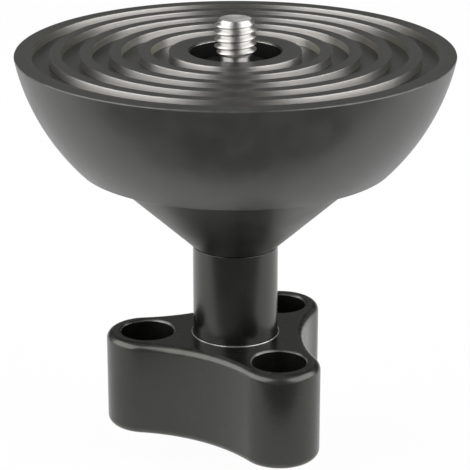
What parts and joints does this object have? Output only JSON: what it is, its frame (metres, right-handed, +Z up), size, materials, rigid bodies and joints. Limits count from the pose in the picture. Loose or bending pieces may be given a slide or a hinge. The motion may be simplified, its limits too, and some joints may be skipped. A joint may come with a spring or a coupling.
{
  "type": "tripod half ball adapter",
  "caption": "Half ball adapter for a tripod bowl: ring-grooved ball section with a camera screw on top, and a clamp cone drawn up from below by a lobed hand knob on a threaded stud.",
  "frame": {"origin": "on the turning axis, at the flat underside of the knob on which the adapter stands", "axes": "+Z up along the stud, out of the grooved top face and the camera screw; +X to the right of the picture, +Y away from its camera"},
  "size_m": [0.098, 0.098, 0.0972],
  "materials": {
    "black_anodised_aluminium": "satin black anodised, fine turned",
    "black_oxide_steel": "black oxide",
    "stainless_steel": "bright turned stainless",
    "zinc_plated_steel": "bright zinc plate",
    "brass": "turned brass",
    "acetal": "natural acetal"
  },
  "bodies": {
    "ball": {"half_ball": "black_anodised_aluminium", "draw_stud": "black_oxide_steel", "mount_screw": "stainless_steel", "screw_lock_grub": "black_oxide_steel", "stud_washer": "zinc_plated_steel", "stud_lock_washer": "zinc_plated_steel", "stud_nut": "zinc_plated_steel"},
    "clamp": {"clamp_cone": "black_anodised_aluminium", "cone_bush": "acetal", "thrust_washer": "acetal"},
    "knob": {"tri_knob": "black_anodised_aluminium", "knob_sleeve": "black_anodised_aluminium", "sleeve_insert": "brass", "knob_grub": "black_oxide_steel", "knob_washer": "zinc_plated_steel", "knob_screw": "stainless_steel"}
  },
  "joints": [
    {"name": "cone_slide", "type": "slide", "parent": "ball", "child": "clamp", "axis": [0, 0, 1], "range_m": [-0.00875, 0]},
    {"name": "knob_turn", "type": "hinge", "parent": "clamp", "child": "knob", "pos_m": [0, 0, 0], "axis": [0, 0, 1], "range_deg": [-1800, 0]}
  ],
  "couplings": [
    {"joint": "knob_turn", "follows": "cone_slide", "rad_per_m": 3590.4}
  ]
}
